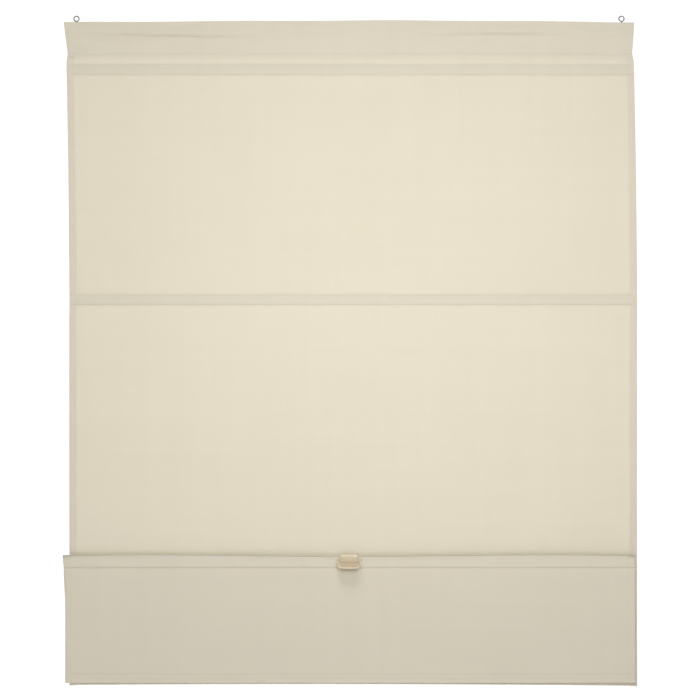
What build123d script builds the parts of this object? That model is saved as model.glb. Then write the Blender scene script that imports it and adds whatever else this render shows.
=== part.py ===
from build123d import *

import os
from math import cos, radians, sin

# A hanging roman blind of one cotton cloth, 100 cm wide with a 160 cm drop, its lowest pleat lifted.
# Millimetres. The origin is midway between the two screw eyes, at the centres of their rings.
# +Z is up, -Y is the room side, +X runs to the right as seen from the room.

# Cloth
WIDTH = 1000.0  # finished width of the blind
CLOTH = 0.6  # thickness of one layer
SLACK = 0.3  # clearance between layers and pieces that only lie on each other
CLOTH_TOP_DROP = 7.0  # ring centre down to the top of the cloth
CASING_DEPTH = 54.0  # top of the cloth down to the seam of the top casing
CASING_ALLOWANCE = 8.0  # turned edge below that seam
CASING_BEND = 1.0  # bend radius of the cloth's mid layer at the batten's corners
HEM_DEPTH = 15.0  # turned hem at the lower edge
HEM_DROP = 210.0  # bottom bar down to the lower edge

# Rods and the pockets that are sewn on for them
FIRST_ROD_DROP = 83.5  # top of the cloth down to the first rod
FIRST_PITCH = 405.5  # first rod to second rod
PITCH = 462.5  # cloth between rods from the second one down
ROD_HEIGHT = 13.0
ROD_THICKNESS = 1.6
ROD_INSET = 18.0  # end of a rod in from the cloth's edge
ROD_CORNER = 3.0
POCKET_HEIGHT = 17.2  # between the two sewn rows of a pocket
POCKET_INSET = 9.0  # end of a pocket in from the cloth's edge
POCKET_ALLOWANCE = 2.4  # strip outside each row
POCKET_RISE = 1.2  # height over which the strip swells out over the rod
POCKET_BEND = 0.5

# Magnets behind the bottom rod
MAGNET_LENGTH = 30.0
MAGNET_HEIGHT = 10.0
MAGNET_THICKNESS = 2.0
MAGNET_INSET = 107.0  # end of a magnet in from the rod's end

# Top batten
BATTEN_HEIGHT = 24.0
BATTEN_DEPTH = 10.0
BATTEN_INSET = 6.0
BATTEN_EDGE = 1.2

# Screw eyes
EYE_INSET = 19.5  # in from the cloth's edge
EYE_WIRE = 1.9
EYE_OUTSIDE = 11.0
EYE_GRIP = 16.0  # length of shank inside the batten
EYE_POINT = 3.0
PILOT_CLEARANCE = 0.05

# Pull handle, one moulding pinned through the cloth to the bottom rod
HANDLE_WIDTH = 29.0
HANDLE_WALL = 1.4
PLATE_DEPTH = 19.5  # front plate below the fold's bend
TAB_DEPTH = 8.0  # thicker upper part of the front plate
TAB_RISE = 1.6
EAR_HEIGHT = 3.6
LEDGE_WIDTH = 30.0  # finger ledge between the plate and the bow's bar
LEDGE_THICKNESS = 1.6
BOW_WIDTH = 44.0
BOW_LENGTH = 19.5
BOW_BAR = 3.6
BOW_THICKNESS = 2.6
BOW_CORNER = 9.0
BOW_EDGE = 0.9
BOW_ANGLE = 50.0  # degrees forward of straight down
PIN_SPACING = 18.0
PIN_DIAMETER = 3.0
PIN_CLEARANCE = 0.1  # all round, in the cloth and the rod
PIN_HEAD_DIAMETER = 4.6
PIN_HEAD_THICKNESS = 1.2

# Fold of the bottom bar: height of the bend's centre above the bar
PEAK_RISE = 11.4
LOOP_GAP = 2.0  # open space between the two layers of the lowest loop

# Layers from the wall towards the room, each at its mid plane
PANEL_Y = -(BATTEN_DEPTH + CLOTH) / 2
PLEAT_Y = PANEL_Y - CLOTH - LOOP_GAP
BAR_SWELL = MAGNET_THICKNESS + ROD_THICKNESS + 2 * SLACK
FLAP_Y = PLEAT_Y - 2 * CLOTH - BAR_SWELL - SLACK
PLATE_Y = FLAP_Y - (CLOTH + HANDLE_WALL) / 2 - SLACK
PLATE_FACE_Y = PLATE_Y - HANDLE_WALL / 2

# Bend radii of the mid layer where the cloth turns back
LOOP_RADIUS = (PANEL_Y - PLEAT_Y) / 2
PEAK_RADIUS = (PLEAT_Y - FLAP_Y) / 2
LIP_RADIUS = (PLEAT_Y + FLAP_Y) / 2 - PLATE_Y
HALF_TURN = radians(180)

# Levels
CLOTH_TOP_Z = -CLOTH_TOP_DROP
BATTEN_TOP_Z = CLOTH_TOP_Z - CLOTH
BATTEN_FOOT_Z = BATTEN_TOP_Z - BATTEN_HEIGHT
CASING_SEAM_Z = CLOTH_TOP_Z - CASING_DEPTH
ROD_1_Z = CLOTH_TOP_Z - FIRST_ROD_DROP
ROD_2_Z = ROD_1_Z - FIRST_PITCH
ROD_3_Z = ROD_2_Z - PITCH
BAR_Z = ROD_3_Z  # the lifted bar hangs level with the third rod
PEAK_Z = BAR_Z + PEAK_RISE
LOOP_DEPTH = (PITCH - 2 * PEAK_RISE - HALF_TURN * (PEAK_RADIUS + LOOP_RADIUS)) / 2 + LOOP_RADIUS
LOOP_BEND_Z = ROD_3_Z - LOOP_DEPTH + LOOP_RADIUS
HEM_FOOT_Z = BAR_Z - HEM_DROP

ROD_LENGTH = WIDTH - 2 * ROD_INSET
POCKET_LENGTH = WIDTH - 2 * POCKET_INSET
EYE_X = WIDTH / 2 - EYE_INSET
PIN_X = PIN_SPACING / 2
MAGNET_X = ROD_LENGTH / 2 - MAGNET_INSET - MAGNET_LENGTH / 2


def along_x(section, length, middle_x=0.0):
    """A side section, drawn as (y, z), drawn out to a length across the blind."""
    return Pos(middle_x - length / 2, 0, 0) * extrude(Plane.YZ * section, amount=length)


def shank_bores(radius):
    """One upright bore at each screw eye, from above the cloth to the shank's point."""
    depth = BATTEN_TOP_Z - EYE_GRIP - EYE_POINT
    return [Pos(x, 0, depth / 2) * Cylinder(radius, -depth) for x in (-EYE_X, EYE_X)]


def pin_rounds(diameter, front_y, length):
    """A round at each of the handle's pins, from front_y towards the wall."""
    circle = Circle(diameter / 2)
    places = [Plane((x, front_y, BAR_Z), x_dir=(1, 0, 0), z_dir=(0, 1, 0)) for x in (-PIN_X, PIN_X)]
    return [extrude(place * circle, amount=length) for place in places]

def pin_holes():
    """The two holes for the handle's pins, through the flap and the bottom rod."""
    depth = ROD_THICKNESS + 2 * SLACK + 2 * CLOTH
    return pin_rounds(PIN_DIAMETER + 2 * PIN_CLEARANCE, FLAP_Y - CLOTH, depth)

def top_batten():
    """Planed wooden batten in the top casing, bored for the two screw eyes."""
    section = Pos(0, (BATTEN_TOP_Z + BATTEN_FOOT_Z) / 2) * RectangleRounded(
        BATTEN_DEPTH, BATTEN_HEIGHT, BATTEN_EDGE
    )
    batten = along_x(section, WIDTH - 2 * BATTEN_INSET)
    return batten - shank_bores(EYE_WIRE / 2 + PILOT_CLEARANCE)


def screw_eye(x):
    """Bent-wire ring facing the room, with a pointed shank down into the batten."""
    ring_radius = (EYE_OUTSIDE - EYE_WIRE) / 2
    ring = Rot(90, 0, 0) * Torus(ring_radius, EYE_WIRE / 2)
    shank_foot = BATTEN_TOP_Z - EYE_GRIP + EYE_POINT
    shank_length = -ring_radius - shank_foot
    shank = Pos(0, 0, shank_foot + shank_length / 2) * Cylinder(EYE_WIRE / 2, shank_length)
    point = Pos(0, 0, shank_foot - EYE_POINT / 2) * Cone(EYE_WIRE / 8, EYE_WIRE / 2, EYE_POINT)
    return Pos(x, 0, 0) * (ring + shank + point)


def cloth_panel():
    """The cloth from its top casing, round the batten, down to the bend of the lowest loop."""
    back_y = -PANEL_Y
    top_z = CLOTH_TOP_Z - CLOTH / 2
    outline = FilletPolyline(
        (PANEL_Y, LOOP_BEND_Z),
        (PANEL_Y, top_z),
        (back_y, top_z),
        (back_y, BATTEN_FOOT_Z - SLACK),
        (PANEL_Y + CLOTH, CASING_SEAM_Z),
        radius=[CASING_BEND, CASING_BEND, BATTEN_DEPTH / 2],
    )
    seam_foot = CASING_SEAM_Z - CASING_ALLOWANCE
    seam_head = CASING_SEAM_Z + CLOTH
    seam = Pos(PANEL_Y + CLOTH / 2, (seam_head + seam_foot) / 2) * Rectangle(
        2 * CLOTH, seam_head - seam_foot
    )
    panel = along_x(trace(outline, CLOTH) + seam, WIDTH)
    return panel - shank_bores(EYE_WIRE / 2 + PILOT_CLEARANCE)


def cloth_pleat():
    """The cloth round the bend of the lowest loop and up behind the bottom bar."""
    bend = ThreePointArc(
        (PANEL_Y, LOOP_BEND_Z),
        ((PANEL_Y + PLEAT_Y) / 2, LOOP_BEND_Z - LOOP_RADIUS),
        (PLEAT_Y, LOOP_BEND_Z),
    )
    leg = Line((PLEAT_Y, LOOP_BEND_Z), (PLEAT_Y, PEAK_Z))
    return along_x(trace(bend + leg, CLOTH), WIDTH)


def cloth_flap():
    """The cloth over the bottom bar and down its front to the hem."""
    over = ThreePointArc(
        (PLEAT_Y, PEAK_Z),
        ((PLEAT_Y + FLAP_Y) / 2, PEAK_Z + PEAK_RADIUS),
        (FLAP_Y, PEAK_Z),
    )
    hem_bend_z = HEM_FOOT_Z + CLOTH
    front = Line((FLAP_Y, PEAK_Z), (FLAP_Y, hem_bend_z))
    hem = Pos(FLAP_Y + CLOTH / 2, hem_bend_z + HEM_DEPTH / 2) * Rectangle(2 * CLOTH, HEM_DEPTH)
    edge = Pos(FLAP_Y + CLOTH / 2, hem_bend_z) * Circle(CLOTH)
    return along_x(trace(over + front, CLOTH) + hem + edge, WIDTH) - pin_holes()


def rod_pocket(cloth_y, rod_z, swell):
    """Cloth strip sewn on behind a layer at cloth_y, swelling out by swell over its rod."""
    flat_y = cloth_y + CLOTH
    swell_y = flat_y + swell
    row = POCKET_HEIGHT / 2
    outline = FilletPolyline(
        (flat_y, rod_z + row + POCKET_ALLOWANCE),
        (flat_y, rod_z + row),
        (swell_y, rod_z + row - POCKET_RISE),
        (swell_y, rod_z - row + POCKET_RISE),
        (flat_y, rod_z - row),
        (flat_y, rod_z - row - POCKET_ALLOWANCE),
        radius=POCKET_BEND,
    )
    return along_x(trace(outline, CLOTH), POCKET_LENGTH)


def flat_bar(length, height, thickness, corner, x, back_y, z):
    """A flat bar lying across the blind, its room face at back_y and its body behind that."""
    face = Plane((x, back_y, z), x_dir=(1, 0, 0), z_dir=(0, 1, 0))
    return extrude(face * RectangleRounded(length, height, corner), amount=thickness)


def rod(cloth_y, rod_z):
    """Flat steel rod in its pocket behind a layer at cloth_y."""
    face_y = cloth_y + CLOTH / 2 + SLACK
    return flat_bar(ROD_LENGTH, ROD_HEIGHT, ROD_THICKNESS, ROD_CORNER, 0, face_y, rod_z)


def magnet(x):
    """Block magnet on the wall side of the bottom rod, inside its pocket."""
    face_y = FLAP_Y + CLOTH / 2 + SLACK + ROD_THICKNESS
    return flat_bar(MAGNET_LENGTH, MAGNET_HEIGHT, MAGNET_THICKNESS, 1.0, x, face_y, BAR_Z)


def handle_pins():
    """Two snap pins behind the handle's plate, with their heads behind the bottom rod."""
    head_y = FLAP_Y + CLOTH / 2 + 2 * SLACK + ROD_THICKNESS
    stems = pin_rounds(PIN_DIAMETER, PLATE_Y, head_y - PLATE_Y)
    return stems + pin_rounds(PIN_HEAD_DIAMETER, head_y, PIN_HEAD_THICKNESS)

def pull_handle():
    """Moulding on the folded edge: plate, lip, pins and a bow that stands forward for the fingers."""
    fold_y = (PLEAT_Y + FLAP_Y) / 2
    turn = radians(45)
    lip = ThreePointArc(
        (fold_y, PEAK_Z + LIP_RADIUS),
        (fold_y - LIP_RADIUS * sin(turn), PEAK_Z + LIP_RADIUS * cos(turn)),
        (PLATE_Y, PEAK_Z),
    )
    front = Line((PLATE_Y, PEAK_Z), (PLATE_Y, PEAK_Z - PLATE_DEPTH))
    plate = along_x(trace(lip + front, HANDLE_WALL), HANDLE_WIDTH)

    tab_foot_z = PEAK_Z - TAB_DEPTH
    tab_y = PLATE_FACE_Y - TAB_RISE / 2
    tab = Pos(0, tab_y, (PEAK_Z + tab_foot_z) / 2) * Box(HANDLE_WIDTH, TAB_RISE, TAB_DEPTH)
    tab = fillet(tab.edges().filter_by(Axis.X).group_by(Axis.Y)[0], TAB_RISE / 3)

    ear_z = tab_foot_z + EAR_HEIGHT / 2
    ear_depth = HANDLE_WALL + TAB_RISE
    ears = Pos(0, PLATE_FACE_Y + HANDLE_WALL - ear_depth / 2, ear_z) * Box(BOW_WIDTH, ear_depth, EAR_HEIGHT)
    ears = fillet(ears.edges().filter_by(Axis.Y), EAR_HEIGHT / 3)

    tilt = radians(BOW_ANGLE)
    bow_plane = Plane(
        (0, PLATE_FACE_Y, ear_z), x_dir=(1, 0, 0), z_dir=(0, -cos(tilt), sin(tilt))
    )
    half_span = (BOW_WIDTH - BOW_BAR) / 2
    reach = BOW_LENGTH - BOW_BAR / 2
    route = bow_plane * FilletPolyline(
        (-half_span, 0), (-half_span, -reach), (half_span, -reach), (half_span, 0), radius=BOW_CORNER
    )
    profile = Plane(route @ 0, x_dir=(1, 0, 0), z_dir=route % 0) * RectangleRounded(
        BOW_BAR, BOW_THICKNESS, BOW_EDGE
    )
    bow = sweep(profile, path=route)

    bar_y = PLATE_FACE_Y - reach * sin(tilt)
    bar_z = ear_z - reach * cos(tilt)
    ledge = Pos(0, (bar_y + PLATE_Y) / 2, bar_z) * Box(LEDGE_WIDTH, PLATE_Y - bar_y, LEDGE_THICKNESS)
    return plate + tab + ears + bow + ledge + handle_pins()


PARTS = {
    "top_batten": top_batten(),
    "screw_eye_left": screw_eye(-EYE_X),
    "screw_eye_right": screw_eye(EYE_X),
    "cloth_panel": cloth_panel(),
    "cloth_pleat": cloth_pleat(),
    "cloth_flap": cloth_flap(),
    "bottom_bar_pocket": rod_pocket(FLAP_Y, BAR_Z, BAR_SWELL),
    "bottom_bar_rod": rod(FLAP_Y, BAR_Z) - pin_holes(),
    "bar_magnet_left": magnet(-MAGNET_X),
    "bar_magnet_right": magnet(MAGNET_X),
    "pull_handle": pull_handle(),
}
for number, level in enumerate((ROD_1_Z, ROD_2_Z, ROD_3_Z), start=1):
    PARTS[f"rod_pocket_{number}"] = rod_pocket(PANEL_Y, level, ROD_THICKNESS + 2 * SLACK)
    PARTS[f"steel_rod_{number}"] = rod(PANEL_Y, level)

os.makedirs("parts", exist_ok=True)
for node, piece in PARTS.items():
    export_step(piece, f"parts/{node}.step")
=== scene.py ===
"""The looks of a roman blind: one cotton cloth hung from two screw eyes, its lowest pleat lifted."""

import logging
import math
from dataclasses import dataclass, field
from enum import Enum
from typing import Any

import bpy
import numpy as np
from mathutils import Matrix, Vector


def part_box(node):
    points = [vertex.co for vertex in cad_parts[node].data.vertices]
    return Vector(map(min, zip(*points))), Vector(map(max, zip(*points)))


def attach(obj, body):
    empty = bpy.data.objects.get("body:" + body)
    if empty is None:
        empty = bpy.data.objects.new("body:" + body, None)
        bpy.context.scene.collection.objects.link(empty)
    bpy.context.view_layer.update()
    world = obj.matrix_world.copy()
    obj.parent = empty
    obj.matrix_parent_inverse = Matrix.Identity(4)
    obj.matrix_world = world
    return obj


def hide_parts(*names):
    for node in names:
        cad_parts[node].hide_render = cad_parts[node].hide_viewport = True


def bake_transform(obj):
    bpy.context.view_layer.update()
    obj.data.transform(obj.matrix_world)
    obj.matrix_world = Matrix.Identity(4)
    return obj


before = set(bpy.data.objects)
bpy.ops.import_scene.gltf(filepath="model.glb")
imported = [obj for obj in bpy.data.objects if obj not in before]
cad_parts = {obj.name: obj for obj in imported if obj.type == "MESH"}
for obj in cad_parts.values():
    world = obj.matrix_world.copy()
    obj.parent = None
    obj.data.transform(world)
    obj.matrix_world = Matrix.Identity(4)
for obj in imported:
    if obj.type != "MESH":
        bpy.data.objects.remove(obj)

log = logging.getLogger("roman_blind")
MM = 0.001
HUNG_BODY = "hung_blind"
BAR_BODY = "bottom_bar"


def add_to_scene(name: str, data: Any) -> bpy.types.Object:
    """Makes an object in the scene.

    Args:
        name: its name.
        data: its mesh, light or camera.

    Returns:
        The object.
    """
    thing = bpy.data.objects.new(name, data)
    bpy.context.scene.collection.objects.link(thing)
    return thing


# ---------------------------------------------------------------- shader maths


class Sock:
    """A shader value that can be used in sums."""

    def __init__(self, graph: "ShaderGraph", socket: bpy.types.NodeSocket) -> None:
        self.graph = graph
        self.socket = socket

    def _math(self, operation: str, *values: Any) -> "Sock":
        """Adds a maths node.

        Args:
            operation: name of the Math node's operation.
            values: sockets or numbers, in the node's order.

        Returns:
            The node's result.
        """
        inputs = dict(enumerate(values))
        return self.graph.add("ShaderNodeMath", inputs, operation=operation)

    def __add__(self, other: Any) -> "Sock":
        return self._math("ADD", self, other)

    def __rsub__(self, other: Any) -> "Sock":
        return self._math("SUBTRACT", other, self)

    def __mul__(self, other: Any) -> "Sock":
        return self._math("MULTIPLY", self, other)

    def __truediv__(self, other: Any) -> "Sock":
        return self._math("DIVIDE", self, other)

    def __pow__(self, other: Any) -> "Sock":
        return self._math("POWER", self, other)

    def sine(self) -> "Sock":
        """Returns the sine of this value in radians."""
        return self._math("SINE", self)

    def size(self) -> "Sock":
        """Returns this value without its sign."""
        return self._math("ABSOLUTE", self)

    def floor(self) -> "Sock":
        """Returns the whole number below this value."""
        return self._math("FLOOR", self)

    def greater_of(self, other: Any) -> "Sock":
        """Returns the greater of this value and another."""
        return self._math("MAXIMUM", self, other)

    def ramp(self, low: float, high: float) -> "Sock":
        """Rises smoothly from 0 at low to 1 at high.

        Args:
            low: value below which the result is 0.
            high: value above which the result is 1.

        Returns:
            The smooth step.
        """
        inputs = {"Value": self, "From Min": low, "From Max": high}
        return self.graph.add("ShaderNodeMapRange", inputs, interpolation_type="SMOOTHSTEP")


class ShaderGraph:
    """A material's or world's node tree, filled through one method."""

    def __init__(self, name: str, of_world: bool = False) -> None:
        owners = bpy.data.worlds if of_world else bpy.data.materials
        self.output_kind = "ShaderNodeOutputWorld" if of_world else "ShaderNodeOutputMaterial"
        self.owner = owners.new(name)
        self.owner.use_nodes = True
        self.tree = self.owner.node_tree
        self.tree.nodes.clear()

    def add(self, kind: str, inputs: dict | None = None, output: Any = 0, **settings: Any) -> Sock:
        """Adds one node.

        Args:
            kind: the node's type name.
            inputs: sockets or plain values by input name or number.
            output: name or number of the output that is wanted.
            settings: the node's own properties.

        Returns:
            The output wanted.
        """
        node = self.tree.nodes.new(kind)
        for name, value in settings.items():
            setattr(node, name, value)
        for name, value in (inputs or {}).items():
            if isinstance(value, Sock):
                self.tree.links.new(value.socket, node.inputs[name])
            else:
                node.inputs[name].default_value = value
        return Sock(self, node.outputs[output])

    def object_place(self) -> Sock:
        """Returns the object coordinates, which are the frame's, in metres."""
        return self.add("ShaderNodeTexCoord", output="Object")

    def split(self, place: Sock) -> tuple[Sock, ...]:
        """Returns the x, y and z of a place."""
        parts = self.add("ShaderNodeSeparateXYZ", {0: place}).socket.node.outputs
        return tuple(Sock(self, part) for part in parts)

    def cloth_place(self) -> tuple[Sock, Sock]:
        """Returns the metres across and along the flat cloth at each point."""
        across, along, _ = self.split(self.add("ShaderNodeUVMap", uv_map=SheetMesh.UV_NAME))
        return across, along

    def noise(self, place: Sock, scale: float, detail: float = 2.0, stretch: tuple = (1, 1, 1)) -> Sock:
        """Adds a noise texture.

        Args:
            place: where the texture is read.
            scale: features in each metre.
            detail: octaves.
            stretch: factors on the three axes before reading.

        Returns:
            The noise, about 0.5 on average.
        """
        spot = self.add("ShaderNodeMapping", {"Vector": place, "Scale": stretch})
        return self.add("ShaderNodeTexNoise", {"Vector": spot, "Scale": scale, "Detail": detail})

    def blend_colours(self, share: Sock, first: tuple, second: tuple) -> Sock:
        """Mixes two colours.

        Args:
            share: 0 for the first colour, 1 for the second.
            first: RGB of the first.
            second: RGB of the second.

        Returns:
            The colour.
        """
        inputs = {0: share, 6: (*first, 1.0), 7: (*second, 1.0)}
        return self.add("ShaderNodeMix", inputs, output=2, data_type="RGBA")

    def bump(self, height: Sock, depth: float) -> Sock:
        """Turns a height into a bumped normal.

        Args:
            height: from 0 to 1.
            depth: metres that a height of 1 stands for.

        Returns:
            The normal.
        """
        return self.add("ShaderNodeBump", {"Height": height, "Distance": depth, "Strength": 1.0})

    def surface(self, inputs: dict) -> Sock:
        """Adds a principled surface.

        Args:
            inputs: sockets or plain values by input name.

        Returns:
            The shader.
        """
        return self.add("ShaderNodeBsdfPrincipled", inputs)

    def finish(self, shader: Sock) -> Any:
        """Connects the shader to the output.

        Args:
            shader: the finished shader.

        Returns:
            The material or world.
        """
        node = self.tree.nodes.new(self.output_kind)
        self.tree.links.new(shader.socket, node.inputs["Surface"])
        return self.owner


# ---------------------------------------------------------------- finishes


@dataclass(frozen=True)
class WovenCotton:
    """Plain-woven natural cotton that lets light through."""

    name: str = "natural_cotton"
    pale: tuple = (0.79, 0.733, 0.600)
    deep: tuple = (0.775, 0.715, 0.583)
    glow: tuple = (0.78, 0.755, 0.66)
    tone_range: tuple = (0.36, 0.64)
    warp_slubs: float = 60.0
    weft_slubs: float = 70.0
    clouding: float = 3.0
    translucence: float = 0.235
    yarn: float = 0.62 * MM
    yarn_rise: float = 0.07 * MM

    def build(self) -> bpy.types.Material:
        """Returns the cloth material: warp and weft from the flat cloth's own metres."""
        graph = ShaderGraph(self.name)
        across, along = graph.cloth_place()
        warp_phase = across * (math.pi / self.yarn)
        weft_phase = along * (math.pi / self.yarn)
        warp_number = (across / self.yarn).floor() * math.pi
        weft_number = (along / self.yarn).floor() * math.pi
        warp = warp_phase.sine().size() * ((weft_phase + warp_number).sine() * 0.5 + 0.5)
        weft = weft_phase.sine().size() * (0.5 - (warp_phase + weft_number).sine() * 0.5)
        weave = warp.greater_of(weft)
        place = graph.object_place()
        slubs = graph.noise(place, self.warp_slubs, 3.0, (1.0, 1.0, 0.06))
        weft_slubs = graph.noise(place, self.weft_slubs, 3.0, (0.05, 1.0, 1.0))
        cloud = graph.noise(place, self.clouding, 2.0)
        tone = (slubs + weft_slubs + cloud) / 3.0
        colour = graph.blend_colours(tone.ramp(*self.tone_range), self.deep, self.pale)
        height = weave * 0.7 + slubs * 0.15 + weft_slubs * 0.15
        normal = graph.bump(height, self.yarn_rise)
        front = graph.surface(
            {
                "Base Color": colour,
                "Roughness": 0.92,
                "Specular IOR Level": 0.18,
                "Sheen Weight": 0.06,
                "Normal": normal,
            },
        )
        through = graph.add("ShaderNodeBsdfTranslucent", {"Color": (*self.glow, 1.0)})
        cloth = graph.add("ShaderNodeMixShader", {0: self.translucence, 1: front, 2: through})
        return graph.finish(cloth)


@dataclass(frozen=True)
class SewingThread:
    """Spun polyester thread in the cloth's colour."""

    name: str = "sewing_thread"
    colour: tuple = (0.66, 0.61, 0.49)
    twist: float = 0.5 * MM

    def build(self) -> bpy.types.Material:
        """Returns the thread material, with a fine twist."""
        graph = ShaderGraph(self.name)
        place = graph.object_place()
        fuzz = graph.noise(place, 0.5 / self.twist, 2.0)
        normal = graph.bump(fuzz, 0.1 * MM)
        inputs = {"Base Color": (*self.colour, 1.0), "Roughness": 0.7, "Sheen Weight": 0.1, "Normal": normal}
        return graph.finish(graph.surface(inputs))


@dataclass(frozen=True)
class PlanedPine:
    """Planed softwood with its grain along the batten."""

    name: str = "planed_pine"
    early: tuple = (0.78, 0.58, 0.34)
    late: tuple = (0.58, 0.36, 0.17)
    ring: float = 2.4 * MM

    def build(self) -> bpy.types.Material:
        """Returns the wood material."""
        graph = ShaderGraph(self.name)
        place = graph.object_place()
        wander = graph.noise(place, 12.0, 3.0, (0.08, 1.0, 1.0))
        _, depth, height = graph.split(place)
        rings = ((height + depth * 0.35 + wander * 0.02) * (2 * math.pi / self.ring)).sine() * 0.5 + 0.5
        pores = graph.noise(place, 900.0, 3.0, (0.02, 1.0, 1.0))
        colour = graph.blend_colours((rings * 0.75 + pores * 0.25) ** 2.0, self.early, self.late)
        wood = graph.surface(
            {
                "Base Color": colour,
                "Roughness": pores * 0.2 + 0.5,
                "Normal": graph.bump(pores, 0.12 * MM),
            },
        )
        return graph.finish(wood)


@dataclass(frozen=True)
class Metal:
    """A plated metal with a mottled surface."""

    name: str
    colour: tuple
    dull_colour: tuple
    roughness: float
    roughness_spread: float
    grain: float
    relief: float = 0.02 * MM

    def build(self) -> bpy.types.Material:
        """Returns the metal's material."""
        graph = ShaderGraph(self.name)
        place = graph.object_place()
        mottle = graph.noise(place, self.grain, 4.0)
        colour = graph.blend_colours(mottle.ramp(0.35, 0.65), self.colour, self.dull_colour)
        metal = graph.surface(
            {
                "Base Color": colour,
                "Metallic": 1.0,
                "Roughness": mottle * self.roughness_spread + (self.roughness - self.roughness_spread / 2),
                "Normal": graph.bump(mottle, self.relief),
            },
        )
        return graph.finish(metal)


@dataclass(frozen=True)
class MouldedPlastic:
    """Satin moulded plastic of the pull handle."""

    name: str = "tan_moulded_plastic"
    colour: tuple = (0.595, 0.497, 0.344)
    shade: tuple = (0.57, 0.474, 0.326)
    roughness: float = 0.34

    def build(self) -> bpy.types.Material:
        """Returns the plastic's material."""
        graph = ShaderGraph(self.name)
        place = graph.object_place()
        cloud = graph.noise(place, 90.0, 2.0)
        grain = graph.noise(place, 4200.0, 2.0)
        plastic = graph.surface(
            {
                "Base Color": graph.blend_colours(cloud, self.colour, self.shade),
                "Roughness": grain * 0.1 + (self.roughness - 0.05),
                "Coat Weight": 0.05,
                "Normal": graph.bump(grain, 0.01 * MM),
            },
        )
        return graph.finish(plastic)


@dataclass(frozen=True)
class StudioPaper:
    """Plain pale paper for the floor, which glows where it lies under and behind the blind: painted light
    that brightens the cloth's underside and back.
    """

    name: str = "studio_paper"
    colour: tuple = (0.9, 0.9, 0.9)
    glow: float = 0.0
    glow_from: float = -0.5
    glow_full: float = 0.35

    def build(self) -> bpy.types.Material:
        """Returns the paper's material."""
        graph = ShaderGraph(self.name)
        _, depth, _ = graph.split(graph.object_place())
        share = depth.ramp(self.glow_from, self.glow_full)
        paper = graph.surface(
            {
                "Base Color": (*self.colour, 1.0),
                "Roughness": 1.0,
                "Specular IOR Level": 0.0,
                # Emission is painted light: the paper glows white from half a metre in front of the blind to
                # behind it, lighting the cloth from below.
                "Emission Color": graph.blend_colours(share, (0.0, 0.0, 0.0), (1.0, 1.0, 1.0)),
                "Emission Strength": self.glow,
            },
        )
        return graph.finish(paper)


# ---------------------------------------------------------------- levels and fields


@dataclass(frozen=True)
class BlindLevels:
    """Heights and layer positions of the blind, in metres, read from the frame."""

    cloth: float
    half_width: float
    top: float
    panel_y: float
    casing_back_y: float
    batten_foot: float
    rods: tuple
    row_half: float
    pocket_half: float
    pocket_height: float
    pleat_y: float
    flap_y: float
    peak: float
    bar: float
    loop_foot: float
    loop_bend: float
    hem_foot: float
    bar_swell: float
    rod_swell: float

    @classmethod
    def from_frame(cls) -> "BlindLevels":
        """Returns the levels measured on the CAD nodes."""
        cloth = 0.6 * MM
        half = cloth / 2
        panel_lo, panel_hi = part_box("cloth_panel")
        pleat_lo, pleat_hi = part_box("cloth_pleat")
        flap_lo, flap_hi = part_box("cloth_flap")
        batten_lo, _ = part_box("top_batten")
        bar_lo, bar_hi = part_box("bottom_bar_rod")
        pocket_lo, pocket_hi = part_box("rod_pocket_1")
        swollen_lo, swollen_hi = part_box("bottom_bar_pocket")
        rods = []
        for number in (1, 2, 3):
            low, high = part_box(f"steel_rod_{number}")
            rods.append((low.z + high.z) / 2)
        return cls(
            cloth=cloth,
            half_width=panel_hi.x,
            top=panel_hi.z - half,
            panel_y=panel_lo.y + half,
            casing_back_y=panel_hi.y - half,
            batten_foot=batten_lo.z,
            rods=tuple(rods),
            row_half=8.6 * MM,
            pocket_half=pocket_hi.x,
            pocket_height=pocket_hi.z - pocket_lo.z,
            pleat_y=flap_hi.y - half,
            flap_y=flap_lo.y + half,
            peak=pleat_hi.z,
            bar=(bar_lo.z + bar_hi.z) / 2,
            loop_foot=pleat_lo.z + half,
            loop_bend=panel_lo.z,
            hem_foot=flap_lo.z + half,
            bar_swell=swollen_hi.y - swollen_lo.y - cloth,
            rod_swell=pocket_hi.y - pocket_lo.y - cloth,
        )


def bell(distance: np.ndarray, reach: float) -> np.ndarray:
    """Returns a smooth bump that is 1 at a distance of 0 and fades over reach.

    Args:
        distance: distances from its middle.
        reach: distance at which it has fallen to about a third.
    """
    return np.exp(-((distance / reach) ** 2))


def smooth_step(value: np.ndarray, low: float, high: float) -> np.ndarray:
    """Returns 0 below low, 1 above high, and a smooth rise between."""
    share = np.clip((value - low) / (high - low), 0.0, 1.0)
    return share * share * (3 - 2 * share)


@dataclass(frozen=True)
class Crease:
    """A soft crease across the casing: slack cloth stands off the batten and falls in at its foot."""

    middle: float
    reach: float
    height: float
    slope: float
    depth: float
    slack_reach: float = 11.0 * MM
    crease_reach: float = 2.8 * MM

    def depth_at(self, x: np.ndarray, z: np.ndarray) -> np.ndarray:
        """Returns how far the slack beside the crease takes the cloth towards the room, as a negative y."""
        above = z - self.height - self.slope * (x - self.middle)
        slack = bell(above, self.slack_reach) - bell(above, self.crease_reach)
        return -self.depth * bell(x - self.middle, self.reach) * slack


@dataclass(frozen=True)
class Wave:
    """One standing wave in a hanging cloth."""

    height: float
    length: float
    phase: float
    drift: float = 0.0

    def at(self, x: np.ndarray, z: np.ndarray) -> np.ndarray:
        """Returns the wave's height at positions across and heights."""
        return self.height * np.sin(2 * math.pi * x / self.length + self.phase + self.drift * z)


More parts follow.
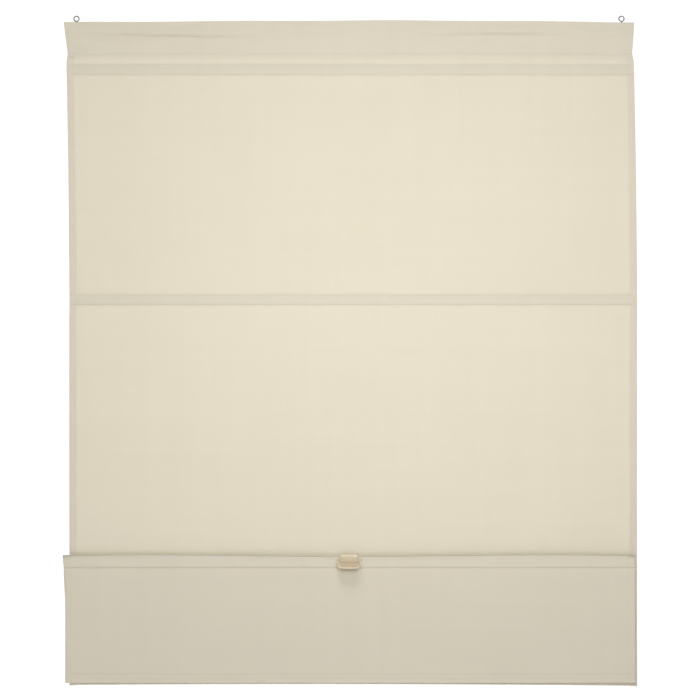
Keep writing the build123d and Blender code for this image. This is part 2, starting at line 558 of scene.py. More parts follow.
@dataclass(frozen=True)
class ClothHang:
    """How the hung cloth strays from flat: sway, slack, sewn rows and a crowned top edge.

    A share is a part of the value named before it. A reach or depth is the distance that an effect takes.
    """

    levels: BlindLevels
    sway: float = 7.5 * MM
    sway_depth: float = 450.0 * MM
    sway_rate: float = 1.6
    top_spread: float = 1.8 * MM
    waist: float = 3.0 * MM
    waist_eased: float = 15.0 * MM
    eased_shares: tuple = (0.25, 0.2)
    eased_depth: float = 500.0 * MM
    crown: float = 3.4 * MM
    crown_depth: float = 45.0 * MM
    crown_share: float = 0.85
    crown_bow: Wave = Wave(0.15, 0.8976, 0.5)
    crown_ripple: Wave = Wave(0.12, 0.27318, 0.0)
    wave: float = 1.5 * MM
    slack_waves: tuple = (
        Wave(0.50, 0.43, 0.8, 1.3),
        Wave(0.32, 0.21, 2.1, 2.6),
        Wave(0.18, 0.117, -1.0, -3.7),
    )
    rod_hold: float = 35.0 * MM
    slack_over_seam: float = 10.0 * MM
    slack_under_seam: float = 50.0 * MM
    fold_hold: float = 80.0 * MM
    row_groove: float = 0.65 * MM
    row_reach: float = 1.3 * MM
    low_row_share: float = 1.7
    bar_row_shares: tuple = (0.6, 2.6)
    lean: float = 0.7 * MM
    lean_reach: float = 9.0 * MM
    seam_depth: float = 55.0 * MM
    seam_dent: float = 2.6 * MM
    dent_over_rod: float = 11.0 * MM
    dent_under_seam: float = 2.0 * MM
    pucker: Wave = Wave(0.45 * MM, 0.067, 0.0, 5.0)
    pucker_turns: float = 9.0
    pucker_reach: float = 20.0 * MM
    foot_rise: float = 1.6 * MM
    foot_slope: float = 0.76 * MM
    foot_sag: float = 2.36 * MM
    foot_reach: float = 60.0 * MM
    peak_reach: float = 30.0 * MM
    flap_sway: float = 2.0 * MM
    flap_splay: float = 2.0 * MM
    fall_start: float = 2.0 * MM
    fall_end: float = 45.0 * MM
    fold_slack: float = 1.52 * MM
    crest: tuple = (0.345, 0.14)
    handle_pull: float = 0.75
    handle_reach: float = 0.16
    handle_bed: float = 0.6
    bed_reach: float = 0.03
    corner_drop: float = 0.4
    bar_hold: float = 12.0 * MM
    front_depths: tuple = (1.5 * MM, 0.8 * MM)
    hem_row: float = 14.5 * MM
    hem_fold: float = 7.0 * MM
    hem_fold_share: float = 0.5
    flap_wave_share: float = 0.8
    flap_wave_shift: float = 0.2
    flap_wave_limit: float = 0.1
    creases: tuple = (
        Crease(-0.30, 0.15, -0.0315, -0.0230, 4.2 * MM),
        Crease(-0.075, 0.035, -0.0255, -0.05, 2.4 * MM),
        Crease(0.27, 0.11, -0.0285, 0.0, 4.0 * MM),
        Crease(0.43, 0.05, -0.0320, 0.05, 1.6 * MM),
        Crease(-0.467, 0.025, -0.0550, 0.0, 1.8 * MM),
    )

    @property
    def seam(self) -> float:
        """Height of the casing's seam."""
        return self.levels.top - self.seam_depth

    def rows(self, middle: float) -> tuple[float, float]:
        """Returns the heights of a pocket's two sewn rows."""
        return middle + self.levels.row_half, middle - self.levels.row_half

    def groove(self, z: np.ndarray, height: float, share: float = 1.0) -> np.ndarray:
        """Returns how far one sewn row pulls the cloth towards the wall."""
        return share * self.row_groove * bell(z - height, self.row_reach)

    def pocket_grooves(self, z: np.ndarray, middle: float) -> np.ndarray:
        """Returns the pull of a pocket's two rows, with the cloth above the rod leaning in.

        Args:
            z: heights.
            middle: height of the rod.
        """
        upper, lower = self.rows(middle)
        lean = self.lean * bell(np.maximum(z - upper, 0.0), self.lean_reach) * (z > middle)
        lean = lean * smooth_step(z, middle, upper)
        return self.groove(z, upper) + self.groove(z, lower, self.low_row_share) + lean

    def waves(self, x: np.ndarray, z: np.ndarray) -> np.ndarray:
        """Returns the soft standing waves of hanging cloth, from -1 to 1."""
        return sum(wave.at(x, z) for wave in self.slack_waves)

    def across_panel(self, x: np.ndarray, z: np.ndarray) -> np.ndarray:
        """Returns the panel's positions across, with its sway and its narrower waist."""
        below = self.levels.top - z
        gone = 1 - np.exp(-below / self.sway_depth * self.sway_rate)
        sway = np.minimum(self.sway * gone / (1 - math.exp(-self.sway_rate)), self.sway)
        depths = [0.0, self.seam_depth, self.seam_depth + self.waist_eased, self.eased_depth]
        pulls = [self.top_spread, -self.waist, *(-share * self.waist for share in self.eased_shares)]
        return x + sway + x / self.levels.half_width * np.interp(below, depths, pulls)

    def along_panel(self, x: np.ndarray, z: np.ndarray) -> np.ndarray:
        """Returns the panel's heights, with its crowned top edge and its sagging foot."""
        lv = self.levels
        share = x / lv.half_width
        near_top = smooth_step(z, lv.top - self.crown_depth, lv.top)
        bow = (1 - share**2) * (self.crown_share + self.crown_bow.at(x, z))
        near_foot = smooth_step(-z, -(lv.loop_foot + self.foot_reach), -lv.loop_foot)
        foot = self.foot_rise - self.foot_slope * share - self.foot_sag * share**2
        return z + self.crown * near_top * (bow + self.crown_ripple.at(x, z)) + near_foot * foot

    def panel_slack(self, z: np.ndarray) -> np.ndarray:
        """Returns how freely the panel waves at each height, from 0 at a rod to 1."""
        lv = self.levels
        slack = np.ones_like(z)
        for rod in lv.rods:
            slack = slack * (1 - bell(z - rod, self.rod_hold))
        over, under = self.seam + self.slack_over_seam, self.seam - self.slack_under_seam
        return slack * smooth_step(-z, -over, -under) * smooth_step(z, lv.peak, lv.peak + self.fold_hold)

    def panel(self, x: np.ndarray, y: np.ndarray, z: np.ndarray) -> np.ndarray:
        """Moves points of the flat panel to where the hung cloth is.

        Args:
            x: positions across.
            y: positions towards the wall.
            z: heights.

        Returns:
            The moved points, one on each line.
        """
        lv = self.levels
        dent = self.seam_dent * smooth_step(-z, -lv.batten_foot, -self.seam)
        dent = dent * smooth_step(z, lv.rods[0] + self.dent_over_rod, self.seam - self.dent_under_seam)
        pull_in = sum(self.pocket_grooves(z, rod) for rod in lv.rods) + self.groove(z, self.seam)
        front = np.where(y < 0, pull_in + sum(crease.depth_at(x, z) for crease in self.creases), 0.0)
        ripple = self.pucker.at(x, np.sin(self.pucker_turns * x)) * bell(z - self.seam, self.pucker_reach)
        new_y = y + self.wave * self.panel_slack(z) * self.waves(x, z) + dent + front + ripple
        return np.stack([self.across_panel(x, z), new_y, self.along_panel(x, z)], axis=-1)

    def pleat(self, x: np.ndarray, y: np.ndarray, z: np.ndarray) -> np.ndarray:
        """Moves points of the pleat's back layer, without a change of depth.

        Args:
            x: positions across.
            y: positions towards the wall.
            z: heights.

        Returns:
            The moved points.
        """
        lv = self.levels
        foot_points = self.panel(x, np.full_like(x, lv.panel_y), np.full_like(x, lv.loop_foot))
        peak_points = self.flap(x, np.full_like(x, lv.pleat_y), np.full_like(x, lv.peak))
        rise = smooth_step(z, lv.loop_foot, lv.peak)
        new_x = foot_points[..., 0] * (1 - rise) + peak_points[..., 0] * rise
        near_foot = 1 - smooth_step(z, lv.loop_foot, lv.loop_foot + self.foot_reach)
        near_peak = smooth_step(z, lv.peak - self.peak_reach, lv.peak)
        foot_rise = (foot_points[..., 2] - lv.loop_foot) * near_foot
        peak_rise = (peak_points[..., 2] - lv.peak) * near_peak
        return np.stack([new_x, y, z + foot_rise + peak_rise], axis=-1)

    def fold_rise(self, x: np.ndarray) -> np.ndarray:
        """Returns how far the fold over the bar stands up, less at the handle and the corners."""
        middle, reach = self.crest
        by_handle = bell(x, self.handle_reach) - bell(x, self.bed_reach) * self.handle_bed
        corner = self.corner_drop * (x / self.levels.half_width) ** 8
        return self.fold_slack * (bell(np.abs(x) - middle, reach) - self.handle_pull * by_handle - corner)

    def flap_rows(self, z: np.ndarray) -> np.ndarray:
        """Returns the pull of the bar's two rows and of the hem's row and fold."""
        lv = self.levels
        pull = sum(self.groove(z, row, share) for row, share in zip(self.rows(lv.bar), self.bar_row_shares))
        hem = self.groove(z, lv.hem_foot + self.hem_row)
        return pull + hem + self.groove(z, lv.hem_foot + self.hem_fold, self.hem_fold_share)

    def flap(self, x: np.ndarray, y: np.ndarray, z: np.ndarray) -> np.ndarray:
        """Moves points of the flat flap to where its cloth hangs.

        Args:
            x: positions across.
            y: positions towards the wall.
            z: heights.

        Returns:
            The moved points.
        """
        lv = self.levels
        splay = self.flap_splay * (x / lv.half_width) ** 5
        fallen = smooth_step(-z, -(lv.peak - self.fall_start), -(lv.peak - self.fall_end))
        new_x = x + self.flap_sway * fallen + splay * (1 - fallen)
        new_z = z + smooth_step(z, lv.bar, lv.peak) * self.fold_rise(x)
        hanging = smooth_step(-z, -(lv.bar - self.bar_hold), -lv.hem_foot)
        behind, face = (lv.flap_y + depth for depth in self.front_depths)
        on_front = smooth_step(-y, -behind, -face)
        waves = np.minimum(self.waves(x + self.flap_wave_shift, z), self.flap_wave_limit)
        wave = self.wave * self.flap_wave_share * hanging * waves
        return np.stack([new_x, y + wave + on_front * self.flap_rows(z), new_z], axis=-1)


# ---------------------------------------------------------------- cloth pieces


@dataclass(frozen=True)
class SheetMesh:
    """A grid of points as a mesh, with the flat cloth's metres as its UV."""

    UV_NAME = "flat_cloth"
    name: str
    points: np.ndarray
    across: np.ndarray
    along: np.ndarray

    def build(self, material: bpy.types.Material, thickness: float) -> bpy.types.Object:
        """Makes the sheet.

        Args:
            material: its cloth.
            thickness: of one layer, in metres.

        Returns:
            The object, with its thickness as a live modifier.
        """
        rows, columns = self.points.shape[:2]
        number = np.arange(rows * columns).reshape(rows, columns)
        corners = [number[:-1, :-1], number[1:, :-1], number[1:, 1:], number[:-1, 1:]]
        faces = np.stack(corners, axis=-1).reshape(-1, 4)
        mesh = bpy.data.meshes.new(self.name)
        mesh.from_pydata(self.points.reshape(-1, 3).tolist(), [], faces.tolist())
        flat = np.stack(np.broadcast_arrays(self.across[None, :], self.along[:, None]), axis=-1)
        layer = mesh.uv_layers.new(name=self.UV_NAME)
        corner_points = np.zeros(len(mesh.loops), np.int32)
        mesh.loops.foreach_get("vertex_index", corner_points)
        layer.data.foreach_set("uv", flat.reshape(-1, 2)[corner_points].astype(np.float32).ravel())
        mesh.polygons.foreach_set("use_smooth", np.ones(len(mesh.polygons), bool))
        mesh.materials.append(material)
        mesh.update()
        sheet = add_to_scene(self.name, mesh)
        solid = sheet.modifiers.new("cloth_thickness", "SOLIDIFY")
        solid.thickness = thickness
        solid.offset = 0.0
        return sheet


@dataclass(frozen=True)
class HemmedWidth:
    """A line across the cloth, its side hems turned to the wrong side."""

    half_width: float
    hem: float
    turn: float
    columns: int = 150
    turn_steps: int = 4
    hem_steps: int = 3

    def line(self) -> tuple[np.ndarray, np.ndarray, np.ndarray]:
        """Returns the positions across, offsets to the wrong side, and flat metres of the line's points."""
        front = np.linspace(-1, 1, self.columns) * (self.half_width - self.turn)
        x, offset = list(front), [0.0] * self.columns
        if self.hem > 0:
            for step in range(1, self.turn_steps + 1):
                angle = math.pi * step / self.turn_steps
                x.append(self.half_width - self.turn + self.turn * math.sin(angle))
                offset.append(self.turn * (1 - math.cos(angle)))
            for step in range(1, self.hem_steps + 1):
                x.append(self.half_width - self.turn - (self.hem - self.turn) * step / self.hem_steps)
                offset.append(2 * self.turn)
            extra = len(x) - self.columns
            mirrored = [-value for value in x[-extra:]][::-1]
            x = mirrored + x
            offset = offset[-extra:][::-1] + offset
        across, offsets = np.array(x), np.array(offset)
        steps = np.hypot(np.diff(across), np.diff(offsets))
        flat = np.concatenate([[0.0], np.cumsum(steps)])
        return across, offsets, flat - flat[-1] / 2


@dataclass(frozen=True)
class Profile:
    """A side view of the cloth as a line of (y, z) points, with the wrong side on its left."""

    points: np.ndarray

    @classmethod
    def through(cls, stops: list[tuple[float, float]], spacing: float) -> "Profile":
        """Fills the stretches between stops with evenly spaced points.

        Args:
            stops: points (y, z) that the line passes through.
            spacing: greatest distance between points.

        Returns:
            The filled line.
        """
        filled = [stops[0]]
        for (y0, z0), (y1, z1) in zip(stops, stops[1:]):
            count = max(1, math.ceil(math.hypot(y1 - y0, z1 - z0) / spacing))
            for step in range(1, count + 1):
                share = step / count
                filled.append((y0 + (y1 - y0) * share, z0 + (z1 - z0) * share))
        return cls(np.array(filled))

    def swept(self, width: HemmedWidth, hang: Any) -> tuple[np.ndarray, np.ndarray, np.ndarray]:
        """Draws the line out across the cloth.

        Args:
            width: the line across.
            hang: function that moves flat points to where they hang.

        Returns:
            The grid of points, the flat metres across and those along.
        """
        across, offsets, flat = width.line()
        heading = np.gradient(self.points, axis=0)
        heading /= np.linalg.norm(heading, axis=1, keepdims=True)
        wrong_side = np.stack([-heading[:, 1], heading[:, 0]], axis=1)
        y = self.points[:, None, 0] + wrong_side[:, None, 0] * offsets[None, :]
        z = self.points[:, None, 1] + wrong_side[:, None, 1] * offsets[None, :]
        x = np.broadcast_to(across[None, :], y.shape)
        steps = np.linalg.norm(np.diff(self.points, axis=0), axis=1)
        along = np.concatenate([[0.0], np.cumsum(steps)])
        return hang(x, y, z), flat, along


def arc(centre: tuple, radius: float, start: float, end: float, steps: int) -> list[tuple[float, float]]:
    """Returns points (y, z) on an arc.

    Args:
        centre: its centre (y, z).
        radius: its radius.
        start: first angle in degrees, from +y towards +z.
        end: last angle.
        steps: stretches between the points.
    """
    angles = [math.radians(start + (end - start) * step / steps) for step in range(steps + 1)]
    return [(centre[0] + radius * math.cos(a), centre[1] + radius * math.sin(a)) for a in angles]


@dataclass
class BlindCloth:
    """The one cloth, as three sheets that meet at the bends of the lowest loop."""

    levels: BlindLevels
    hang: ClothHang
    material: bpy.types.Material
    side_hem: float = 12.5 * MM
    layer_gap: float = 0.05 * MM
    casing_allowance: float = 8.0 * MM
    casing_corner: float = 1.0 * MM
    row_spacing: float = 8.0 * MM
    casing_spacing: float = 1.6 * MM
    pleat_rows: int = 48
    pleat_reach: float = 10.0 * MM
    hem_depth: float = 15.0 * MM
    flap_turns: float = 9.0 * MM
    batten_gap: float = 0.3 * MM
    corner_steps: int = 4
    bend_steps: int = 6
    fold_steps: int = 12
    casing_start: float = 3.0 * MM
    casing_end: float = 5.5 * MM
    row_steps: tuple = (-5.0 * MM, -2.4 * MM, -1.2 * MM, 0.0, 1.2 * MM, 2.4 * MM, 5.0 * MM)
    pocket_lip: float = 0.5 * MM
    pocket_spacing: float = 3.0 * MM
    shoulder: float = 1.4 * MM
    shoulder_line: tuple = ((0.15, 0.2), (0.85, 0.8), (1.0, 1.2))

    @property
    def width(self) -> HemmedWidth:
        """The line across the hemmed cloth."""
        turn = (self.levels.cloth + self.layer_gap) / 2
        return HemmedWidth(self.levels.half_width, self.side_hem, turn)

    def near_rows(self, heights: list[float]) -> list[float]:
        """Returns levels close to sewn rows, from the top down, for their grooves to bend at."""
        return sorted((height + step for height in heights for step in self.row_steps), reverse=True)

    def lay(self, name: str, node: str, profile: Profile, width: HemmedWidth, hang: Any) -> bpy.types.Object:
        """Makes a sheet of the cloth from its side view.

        Args:
            name: name of the piece.
            node: CAD node that it stands for.
            profile: its side view.
            width: the line across it.
            hang: function that moves flat points to where they hang.

        Returns:
            The sheet.
        """
        points, across, along = profile.swept(width, hang)
        sheet = SheetMesh(name, points, across, along).build(self.material, self.levels.cloth)
        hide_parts(node)
        return sheet

    def build_panel(self) -> bpy.types.Object:
        """Makes the cloth from the casing's back, over the batten and down to the loop's lowest point."""
        lv, hang = self.levels, self.hang
        corner = self.casing_corner
        back_low = (lv.panel_y + lv.cloth + self.layer_gap, hang.seam - self.casing_allowance)
        back_seam = (lv.panel_y + lv.cloth + self.layer_gap, hang.seam)
        back_foot = (lv.casing_back_y, lv.batten_foot - self.batten_gap)
        stops = [back_low, back_seam, back_foot]
        stops += arc((lv.casing_back_y - corner, lv.top - corner), corner, 0, 90, self.corner_steps)
        stops += arc((lv.panel_y + corner, lv.top - corner), corner, 90, 180, self.corner_steps)
        first, last = lv.top - self.casing_start, hang.seam + self.casing_end
        casing_levels = np.arange(first, last, -self.casing_spacing)
        heights = [height for rod in lv.rods for height in hang.rows(rod)] + [hang.seam]
        stops += [(lv.panel_y, level) for level in [*casing_levels, *self.near_rows(heights)]]
        radius = lv.loop_bend - lv.loop_foot
        stops += arc((lv.panel_y - radius, lv.loop_bend), radius, 0, -90, self.bend_steps)
        profile = Profile.through(stops, self.row_spacing)
        panel = self.lay("blind_panel", "cloth_panel", profile, self.width, hang.panel)
        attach(panel, HUNG_BODY)
        return panel

    def build_pleat(self) -> bpy.types.Object:
        """Makes the back layer of the lifted pleat, shaped so that it would open evenly as the bar comes
        down.

        The shape is worked out backwards for a blend between the bodies along a slanted line, smooth at its
        ends: the cloth's depth is where the blend's share equals the share of the height. No blend is set up
        here; the sheet is baked in place on no body.
        """
        lv = self.levels
        start_y = lv.panel_y - (lv.loop_bend - lv.loop_foot)
        height = lv.peak - lv.loop_foot
        reach = self.pleat_reach
        room = reach * (start_y - lv.pleat_y) - reach**2
        lean = (height - math.sqrt(height**2 + 4 * room)) / 2
        share = (1 - np.cos(np.linspace(0, math.pi, self.pleat_rows))) / 2
        blend_share = 0.5 - np.sin(np.arcsin(1 - 2 * share) / 3)
        y = start_y - ((reach**2 + lean**2) * blend_share - height * lean * share) / reach
        profile = Profile(np.stack([y, lv.loop_foot + height * share], axis=1))
        plain = HemmedWidth(lv.half_width, 0.0, 0.0)
        pleat = self.lay("pleat_back_layer", "cloth_pleat", profile, plain, self.hang.pleat)
        end = (0.0, start_y - reach, lv.loop_foot + lean)
        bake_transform(pleat)
        return pleat

    def build_flap(self) -> bpy.types.Object:
        """Makes the cloth over the bottom bar, down its front and round the hem."""
        lv, hang = self.levels, self.hang
        radius = (lv.pleat_y - lv.flap_y) / 2
        stops = arc(((lv.pleat_y + lv.flap_y) / 2, lv.peak), radius, 0, 180, self.fold_steps)
        rows = [*hang.rows(lv.bar), lv.hem_foot + hang.hem_row, lv.hem_foot + self.hem_depth / 2]
        stops += [(lv.flap_y, level) for level in self.near_rows(rows)]
        turn = (lv.cloth + self.layer_gap) / 2
        stops += arc((lv.flap_y + turn, lv.hem_foot + turn), turn, 180, 360, self.bend_steps)
        stops += [(lv.flap_y + 2 * turn, lv.hem_foot + turn + self.hem_depth)]
        profile = Profile.through(stops, self.row_spacing)
        flap = self.lay("blind_flap", "cloth_flap", profile, self.width, hang.flap)
        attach(flap, BAR_BODY)
        return flap

    def build_pocket(self, name: str, node: str, middle: float, swell: float) -> bpy.types.Object:
        """Makes the strip that is sewn behind the cloth over a rod.

        Args:
            name: name of the piece.
            node: CAD node that it stands for.
            middle: height of the rod.
            swell: how far it stands out over the rod.

        Returns:
            The strip.
        """
        lv = self.levels
        on_panel = node.startswith("rod_pocket")
        flat_y = (lv.panel_y if on_panel else lv.flap_y) + lv.cloth + self.layer_gap
        rise = [(0.0, lv.pocket_height / 2), (0.0, lv.row_half + self.pocket_lip)]
        rise += [(out, lv.row_half - step * self.shoulder) for out, step in self.shoulder_line]
        stops = [(flat_y + swell * out, middle - level) for out, level in rise]
        stops += [(flat_y + swell * out, middle + level) for out, level in reversed(rise)]
        profile = Profile.through(stops, self.pocket_spacing)
        plain = HemmedWidth(lv.pocket_half, 0.0, 0.0)
        strip = self.lay(name, node, profile, plain, self.hang.panel if on_panel else self.hang.flap)
        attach(strip, HUNG_BODY if on_panel else BAR_BODY)
        return strip

    def build(self) -> None:
        lv = self.levels
        panel, pleat, flap = self.build_panel(), self.build_pleat(), self.build_flap()
        strips = [
            self.build_pocket(f"pocket_strip_{n}", f"rod_pocket_{n}", rod, lv.rod_swell)
            for n, rod in enumerate(lv.rods, start=1)
        ]
        bar_strip = self.build_pocket("bar_pocket_strip", "bottom_bar_pocket", lv.bar, lv.bar_swell)
        cut = 2 * (lv.half_width + self.side_hem)
        casing = (lv.top - self.hang.seam) + self.casing_allowance + (lv.casing_back_y - lv.panel_y)
        panel_length = casing + (lv.top - lv.loop_foot)
        pleat_length = lv.peak - lv.loop_foot
        flap_length = (lv.peak - lv.hem_foot) + self.hem_depth + self.flap_turns
        cut_pleat = (2 * lv.half_width, pleat_length)
        log.info("cloth: panel %.3f m, pleat %.3f m, flap %.3f m", panel_length, pleat_length, flap_length)


# ---------------------------------------------------------------- stitching


class StitchInput(Enum):
    """Inputs of the stitching node group."""

    SPACING = "Spacing"
    LENGTH = "Thread Length"
    RADIUS = "Thread Radius"
    WANDER = "Wander"
    SEED = "Seed"
    THREAD = "Thread"


class StitchGroup:
    """A Geometry Nodes group that sews short threads along the edges it is given."""

    SIDES = 6
    SEGMENTS = 3

    def __init__(self) -> None:
        self.group = bpy.data.node_groups.new("sewn_stitches", "GeometryNodeTree")
        self.identifiers: dict[StitchInput, str] = {}
        face = self.group.interface
        face.new_socket("Geometry", in_out="INPUT", socket_type="NodeSocketGeometry")
        kinds = {StitchInput.SEED: "NodeSocketInt", StitchInput.THREAD: "NodeSocketMaterial"}
        for option in StitchInput:
            kind = kinds.get(option, "NodeSocketFloat")
            socket = face.new_socket(option.value, in_out="INPUT", socket_type=kind)
            self.identifiers[option] = socket.identifier
        face.new_socket("Geometry", in_out="OUTPUT", socket_type="NodeSocketGeometry")
        self.build()

    def node(self, kind: str, inputs: dict | None = None, **settings: Any) -> bpy.types.Node:
        """Adds one node.

        Args:
            kind: the node's type name.
            inputs: sockets or plain values by input name or number.
            settings: the node's own properties.

        Returns:
            The node.
        """
        node = self.group.nodes.new(kind)
        for name, value in settings.items():
            setattr(node, name, value)
        for name, value in (inputs or {}).items():
            if isinstance(value, bpy.types.NodeSocket):
                self.group.links.new(value, node.inputs[name])
            else:
                node.inputs[name].default_value = value
        return node

    def build(self) -> None:
        """Fills the group: edges to points, a thread at each, realized and given its material."""
        given = self.node("NodeGroupInput").outputs
        length, radius = given[StitchInput.LENGTH.value], given[StitchInput.RADIUS.value]
        lines = self.node("GeometryNodeMeshToCurve", {"Mesh": given["Geometry"]})
        resampled = {"Curve": lines.outputs[0], "Length": given[StitchInput.SPACING.value]}
        points = self.node("GeometryNodeResampleCurve", resampled, mode="LENGTH")
        shape = {"Vertices": self.SIDES, "Side Segments": self.SEGMENTS, "Radius": radius, "Depth": length}
        thread = self.node("GeometryNodeMeshCylinder", shape)
        tangent = self.node("GeometryNodeInputTangent")
        spread = {0: (-1.0, -1.0, -1.0), 1: (1.0, 1.0, 1.0), "Seed": given[StitchInput.SEED.value]}
        wander = self.node("FunctionNodeRandomValue", spread, data_type="FLOAT_VECTOR")
        scaled = {0: wander.outputs[0], "Scale": given[StitchInput.WANDER.value]}
        strength = self.node("ShaderNodeVectorMath", scaled, operation="SCALE")
        summed = {0: tangent.outputs[0], 1: strength.outputs[0]}
        heading = self.node("ShaderNodeVectorMath", summed, operation="ADD")
        turned = self.node("FunctionNodeAlignRotationToVector", {"Vector": heading.outputs[0]}, axis="Z")
        placed = {"Points": points.outputs[0], "Instance": thread.outputs[0], "Rotation": turned.outputs[0]}
        sewn = self.node("GeometryNodeInstanceOnPoints", placed)
        real = self.node("GeometryNodeRealizeInstances", {"Geometry": sewn.outputs[0]})
        thread_material = {"Geometry": real.outputs[0], "Material": given[StitchInput.THREAD.value]}
        dressed = self.node("GeometryNodeSetMaterial", thread_material)
        self.node("NodeGroupOutput", {"Geometry": dressed.outputs[0]})


@dataclass
class Stitching:
    """The machine stitches on one body."""

    name: str
    body: str
    group: StitchGroup
    material: bpy.types.Material
    spacing: float = 4.0 * MM
    length: float = 3.1 * MM
    radius: float = 0.19 * MM
    wander: float = 0.035
    seed: int = 7
    points: list = field(default_factory=list)
    edges: list = field(default_factory=list)

    def sew(self, line: np.ndarray) -> None:
        """Adds a line of stitches.

        Args:
            line: points on the thread's path.
        """
        first = len(self.points)
        self.points += line.tolist()
        self.edges += [(first + n, first + n + 1) for n in range(len(line) - 1)]

    def build(self) -> bpy.types.Object:
        """Returns the finished threads as one mesh on their body."""
        mesh = bpy.data.meshes.new(f"{self.name}_path")
        mesh.from_pydata(self.points, self.edges, [])
        path = add_to_scene(f"{self.name}_path", mesh)
        modifier = path.modifiers.new("stitches", "NODES")
        modifier.node_group = self.group.group
        values = {
            StitchInput.SPACING: self.spacing,
            StitchInput.LENGTH: self.length,
            StitchInput.RADIUS: self.radius,
            StitchInput.WANDER: self.wander,
            StitchInput.SEED: self.seed,
            StitchInput.THREAD: self.material,
        }
        for option, value in values.items():
            modifier[self.group.identifiers[option]] = value
        bpy.context.view_layer.update()
        evaluated = path.evaluated_get(bpy.context.evaluated_depsgraph_get())
        threads = bpy.data.meshes.new_from_object(evaluated)
        path.modifiers.clear()
        bpy.data.objects.remove(path)
        threads.polygons.foreach_set("use_smooth", np.ones(len(threads.polygons), bool))
        sewn = add_to_scene(self.name, threads)
        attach(sewn, self.body)
        return sewn


@dataclass
class Seams:
    """Where the blind is sewn: casing, pockets, side hems and lower hem."""

    cloth: BlindCloth
    thread: bpy.types.Material
    proud: float = 0.1 * MM
    side_gap: float = 1.0 * MM
    row_gap: float = 2.0 * MM
    hem_gap: float = 4.0 * MM
    line_points: int = 260

    def across(self, hang: Any, half: float, y: float, z: float) -> np.ndarray:
        """Returns a line across the cloth at one height and depth."""
        x = np.linspace(-half, half, self.line_points)
        return hang(x, np.full_like(x, y), np.full_like(x, z))

    def upright(self, hang: Any, x: float, y: float, low: float, high: float) -> np.ndarray:
        """Returns an upright line at one place across."""
        z = np.linspace(low, high, self.line_points)
        return hang(np.full_like(z, x), np.full_like(z, y), z)

    def faces(self, layer_y: float) -> tuple[float, float]:
        """Returns the depths of the threads in front of and behind a doubled layer."""
        lv = self.cloth.levels
        face = lv.cloth / 2 + self.proud
        return layer_y - face, layer_y + lv.cloth + self.cloth.layer_gap + face

    def build(self) -> None:
        """Sews both bodies."""
        lv, hang = self.cloth.levels, self.cloth.hang
        group = StitchGroup()
        hung = Stitching("hung_cloth_stitches", HUNG_BODY, group, self.thread)
        bar = Stitching("bar_cloth_stitches", BAR_BODY, group, self.thread, seed=11)
        hem_x = lv.half_width - self.cloth.side_hem + self.row_gap
        seam_half, pocket_half = lv.half_width - self.side_gap, lv.pocket_half - self.row_gap
        for depth in self.faces(lv.panel_y):
            hung.sew(self.across(hang.panel, seam_half, depth, hang.seam))
        for row in (row for rod in lv.rods for row in hang.rows(rod)):
            for depth in self.faces(lv.panel_y):
                hung.sew(self.across(hang.panel, pocket_half, depth, row))
        low, high = lv.loop_bend + self.hem_gap, hang.seam - self.row_gap
        for side in (-1, 1):
            for depth in self.faces(lv.panel_y):
                hung.sew(self.upright(hang.panel, side * hem_x, depth, low, high))
        for row in hang.rows(lv.bar):
            for depth in self.faces(lv.flap_y):
                bar.sew(self.across(hang.flap, pocket_half, depth, row))
        low, high = lv.hem_foot + self.hem_gap, lv.peak - self.row_gap
        for depth in self.faces(lv.flap_y):
            bar.sew(self.across(hang.flap, seam_half, depth, lv.hem_foot + hang.hem_row))
            for side in (-1, 1):
                bar.sew(self.upright(hang.flap, side * hem_x, depth, low, high))
        threads = [hung.build(), bar.build()]
        log.info("stitching: %s faces", [len(piece.data.polygons) for piece in threads])


# ---------------------------------------------------------------- hard pieces


@dataclass
class Hardware:
    """The hard pieces, which keep their CAD shapes and get real finishes."""

    finishes: dict

    def build(self) -> None:
        """Dresses each CAD node through its material slots."""
        for node, material in self.finishes.items():
            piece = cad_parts[node]
            for slot in piece.material_slots:
                slot.material = material
            log.info("dressed %s in %s", node, material.name)


# ---------------------------------------------------------------- studio


@dataclass(frozen=True)
class SoftLight:
    """A soft rectangular light that the camera doesn't see; power is in watts."""

    name: str
    place: tuple
    aim: tuple
    size: tuple
    power: float
    colour: tuple = (1.0, 1.0, 1.0)

    def build(self) -> None:
        """Makes the light."""
        lamp = bpy.data.lights.new(self.name, "AREA")
        lamp.shape = "RECTANGLE"
        lamp.size, lamp.size_y = self.size
        lamp.energy = self.power
        lamp.color = self.colour
        holder = add_to_scene(self.name, lamp)
        holder.location = self.place
        holder.rotation_mode = "QUATERNION"
        holder.rotation_quaternion = (Vector(self.aim) - Vector(self.place)).to_track_quat("-Z", "Y")
        holder.visible_camera = False


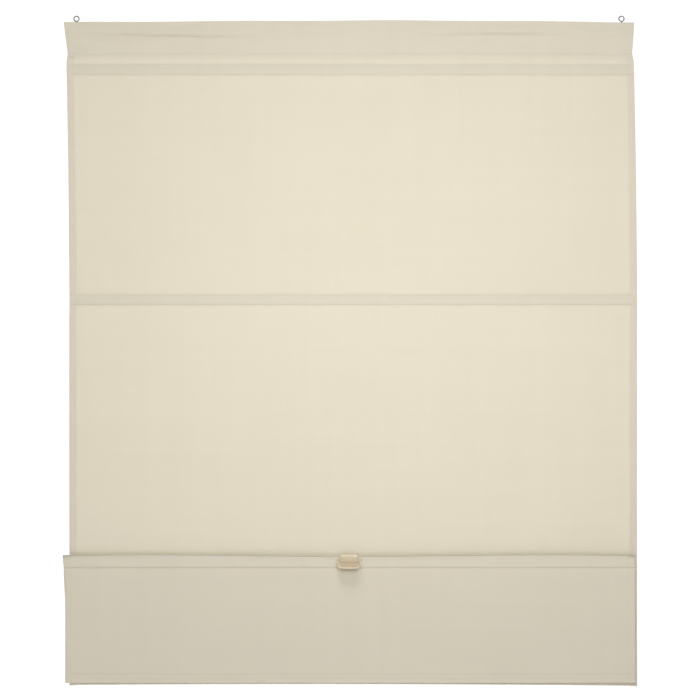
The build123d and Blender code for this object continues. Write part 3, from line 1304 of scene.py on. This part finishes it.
@dataclass(frozen=True)
class Studio:
    """A pale room with soft light in front of the blind and brightness behind it."""

    view_height: float = -0.584
    view_side: float = 0.0018
    view_distance: float = 2.9088
    lens: float = 85.0
    sensor: float = 36.0
    floor_drop: float = 0.62
    floor_front: float = -4.5
    floor_back: float = 2.4
    floor_side: float = 4.5
    white_glow: float = 1.06
    white_from: float = 0.0
    white_full: float = 0.45
    low_from: float = 0.02
    low_full: float = 0.16
    room_light: float = 0.28
    window: SoftLight = SoftLight(
        "window_light", (0.0, 0.6, -0.62), (0.0, 0.0, -0.6), (0.7, 0.9), 1.1, (1.0, 0.985, 0.95)
    )
    fill: SoftLight = SoftLight("fill_light", (0.12, -1.25, -0.40), (0.0, 0.0, -0.4), (0.5, 0.5), 8.2)
    ceiling_strength: float = 1.21
    ceiling_spread: float = 22.0
    ceiling_height: float = 64.0
    ceiling_side: float = -8.0

    def build_floor(self, levels: BlindLevels) -> None:
        """Makes the floor, whose paper glows white under and behind the blind: painted light that stands in
        for the room's white there.
        """
        z = levels.loop_foot - self.floor_drop
        front, back, side = self.floor_front, self.floor_back, self.floor_side
        corners = [(-side, front, z), (side, front, z), (side, back, z), (-side, back, z)]
        mesh = bpy.data.meshes.new("studio_floor")
        mesh.from_pydata(corners, [], [(0, 1, 2, 3)])
        mesh.materials.append(StudioPaper(glow=self.white_glow).build())
        add_to_scene("studio_floor", mesh)

    def build_ceiling_light(self) -> None:
        """Makes broad even light that slants down from above the camera."""
        lamp = bpy.data.lights.new("ceiling_light", "SUN")
        lamp.energy = self.ceiling_strength
        lamp.angle = math.radians(self.ceiling_spread)
        holder = add_to_scene("ceiling_light", lamp)
        from_above = math.radians(90.0 - self.ceiling_height)
        holder.rotation_euler = (from_above, 0.0, math.radians(self.ceiling_side))

    def build_world(self) -> None:
        """Makes the room's own light: white behind and below the blind, softer in front of it."""
        graph = ShaderGraph("studio_world", of_world=True)
        _, depth, height = graph.split(graph.add("ShaderNodeTexCoord", output="Generated"))
        behind = depth.ramp(self.white_from, self.white_full)
        below = (0.0 - height).ramp(self.low_from, self.low_full)
        white = behind + below * (1.0 - behind)
        strength = white * (self.white_glow - self.room_light) + self.room_light
        sky = graph.add("ShaderNodeBackground", {"Color": (1.0, 1.0, 1.0, 1.0), "Strength": strength})
        bpy.context.scene.world = graph.finish(sky)

    def build_camera(self, levels: BlindLevels) -> None:
        """Makes the camera, level with the middle of the blind."""
        data = bpy.data.cameras.new("studio_camera")
        data.lens = self.lens
        data.sensor_width = self.sensor
        camera = add_to_scene("studio_camera", data)
        face_y = levels.panel_y - levels.cloth / 2
        camera.location = (self.view_side, face_y - self.view_distance, self.view_height)
        camera.rotation_euler = (math.radians(90.0), 0.0, 0.0)
        bpy.context.scene.camera = camera

    def build(self, levels: BlindLevels) -> None:
        """Makes the floor, lights, room and camera."""
        self.build_floor(levels)
        self.window.build()
        self.build_ceiling_light()
        self.fill.build()
        self.build_world()
        self.build_camera(levels)
        bpy.context.scene.view_settings.view_transform = "Standard"
        log.info("studio ready")


def hard_finishes() -> dict:
    """Returns the material of each hard node."""
    strip = Metal(
        "galvanised_strip",
        colour=(0.62, 0.63, 0.64),
        dull_colour=(0.45, 0.46, 0.47),
        roughness=0.42,
        roughness_spread=0.2,
        grain=160.0,
    ).build()
    nickel = Metal(
        "nickel_plate",
        colour=(0.72, 0.69, 0.64),
        dull_colour=(0.62, 0.60, 0.56),
        roughness=0.22,
        roughness_spread=0.1,
        grain=240.0,
    ).build()
    wire = Metal(
        "bright_zinc_wire",
        colour=(0.24, 0.24, 0.235),
        dull_colour=(0.15, 0.15, 0.145),
        roughness=0.36,
        roughness_spread=0.12,
        grain=500.0,
    ).build()
    finishes = {"top_batten": PlanedPine().build(), "pull_handle": MouldedPlastic().build()}
    finishes |= {node: strip for node in ("steel_rod_1", "steel_rod_2", "steel_rod_3", "bottom_bar_rod")}
    for side in ("left", "right"):
        finishes |= {f"bar_magnet_{side}": nickel, f"screw_eye_{side}": wire}
    return finishes


def main() -> None:
    """Builds the blind's looks piece by piece."""
    logging.basicConfig(level=logging.INFO, format="%(name)s: %(message)s")
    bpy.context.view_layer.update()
    levels = BlindLevels.from_frame()
    cloth = BlindCloth(levels, ClothHang(levels), WovenCotton().build())
    cloth.build()
    Seams(cloth, SewingThread().build()).build()
    Hardware(hard_finishes()).build()
    Studio().build(levels)


if __name__ == "__main__":
    main()
